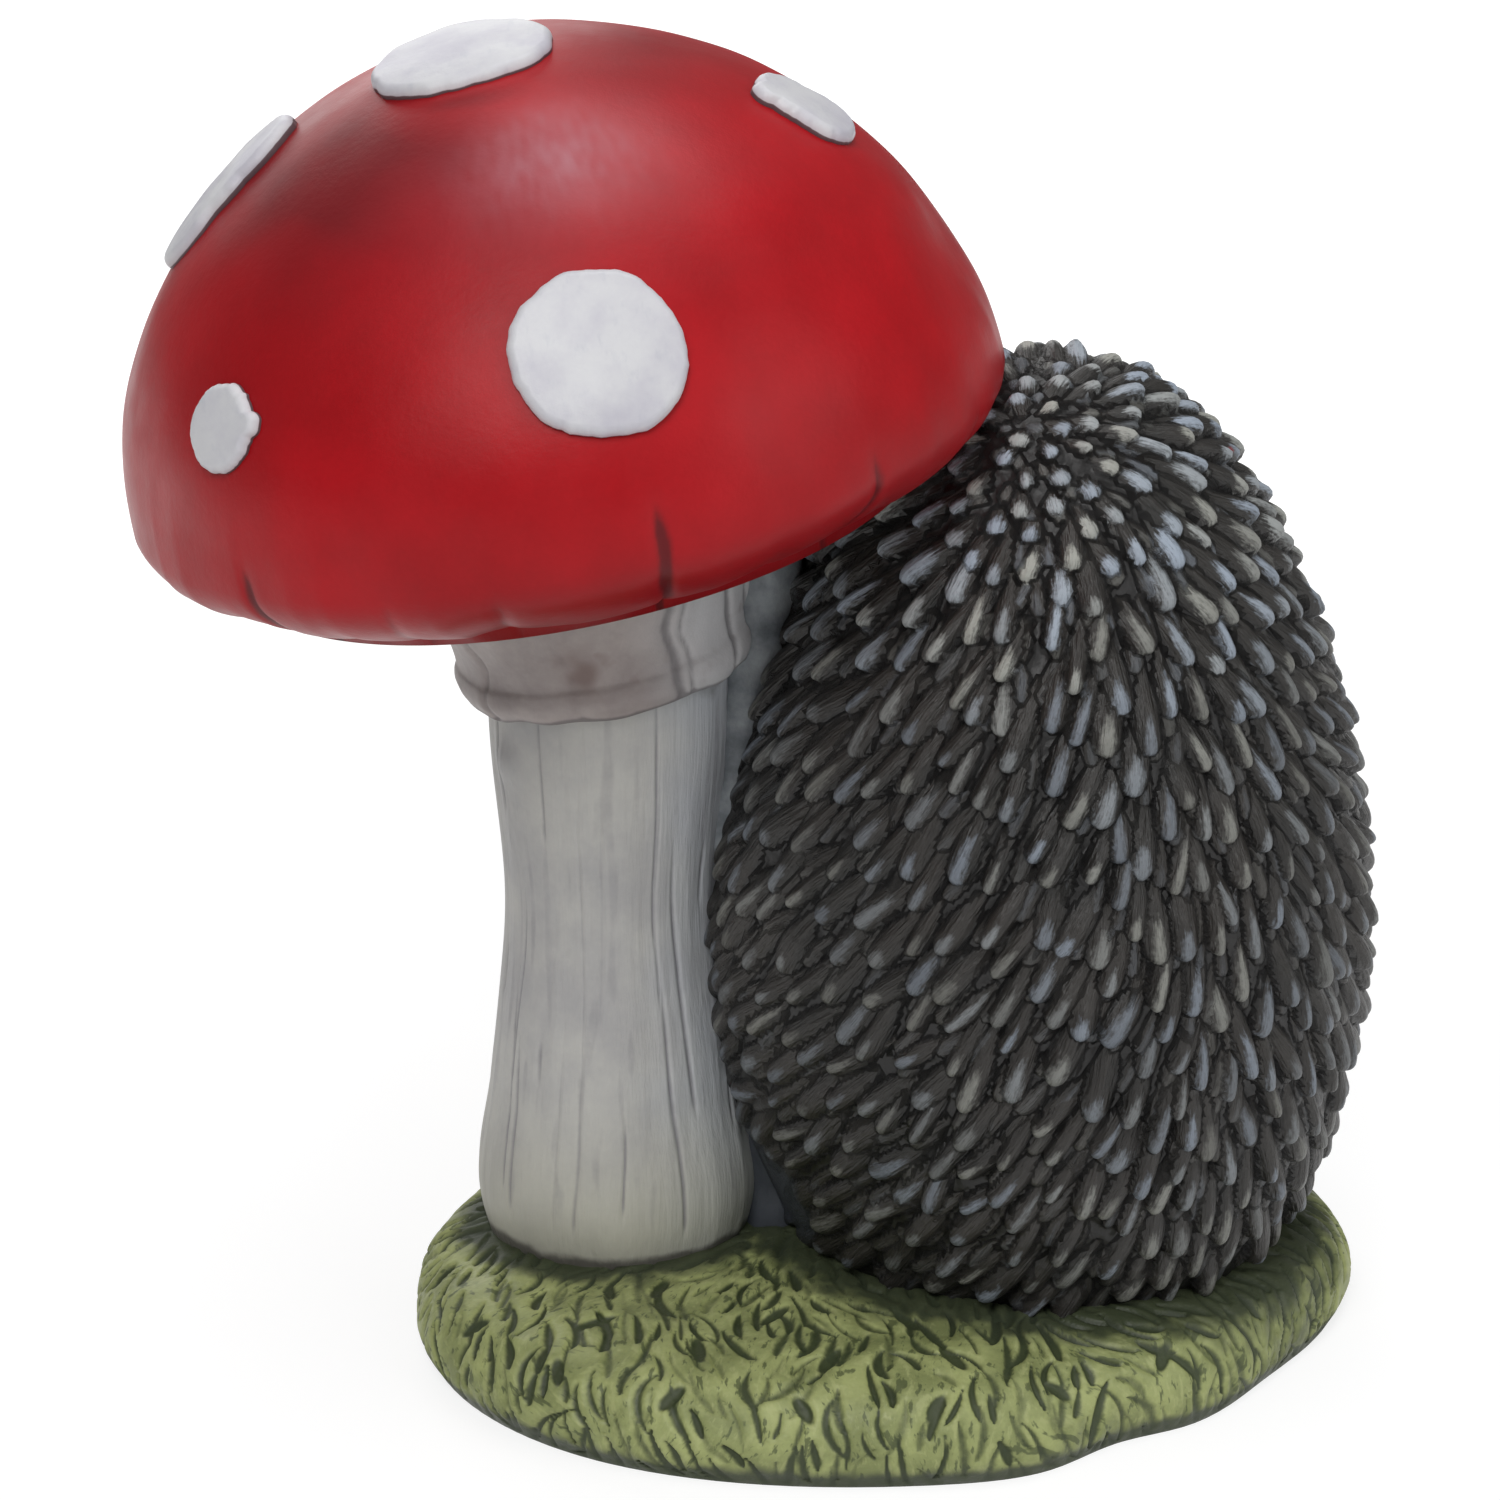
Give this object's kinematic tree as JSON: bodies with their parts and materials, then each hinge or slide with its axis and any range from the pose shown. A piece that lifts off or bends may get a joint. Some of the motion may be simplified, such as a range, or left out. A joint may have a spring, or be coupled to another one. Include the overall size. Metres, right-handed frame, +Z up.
{
  "type": "hedgehog figurine",
  "caption": "Painted resin garden figurine of a hedgehog with a quill coat sitting beside a spotted toadstool on a grassy mound.",
  "frame": {"origin": "middle of the mound's footprint, on the surface it stands on", "axes": "+Z up, +X from the toadstool to the hedgehog along the mound, +Y the way the hedgehog's face looks"},
  "size_m": [0.1463, 0.1068, 0.1559],
  "materials": {
    "grass": "satin painted resin, olive with dark green grooves",
    "stem": "satin painted resin, off-white with grey grooves",
    "ring": "satin painted resin, grey with brown stains",
    "cap": "satin painted resin, carmine red",
    "gill": "satin painted resin, cream",
    "spot": "satin painted resin, white with a lilac tint",
    "quill": "painted resin, dark brown with blue-grey dry-brushed tips",
    "face": "painted resin, light brown",
    "belly": "painted resin, cream",
    "skin": "painted resin, warm brown",
    "black": "gloss black paint"
  },
  "bodies": {
    "root": {"grass_base": "grass", "mushroom_stem": "stem", "stem_ring": "ring", "mushroom_cap": "cap", "cap_gills": "gill", "cap_spot_crown": "spot", "cap_spot_front": "spot", "cap_spot_left": "spot", "cap_spot_upper_right": "spot", "cap_spot_far_left": "spot", "cap_spot_back": "spot", "cap_spot_back_left": "spot", "cap_spot_back_right": "spot", "quill_coat": "quill", "head": "face", "nose": "black", "belly": "belly", "eye_left": "black", "eye_right": "black", "ear_left": "skin", "ear_right": "skin", "arm_left": "face", "arm_right": "face", "foot_left": "skin", "foot_right": "skin"}
  },
  "joints": []
}
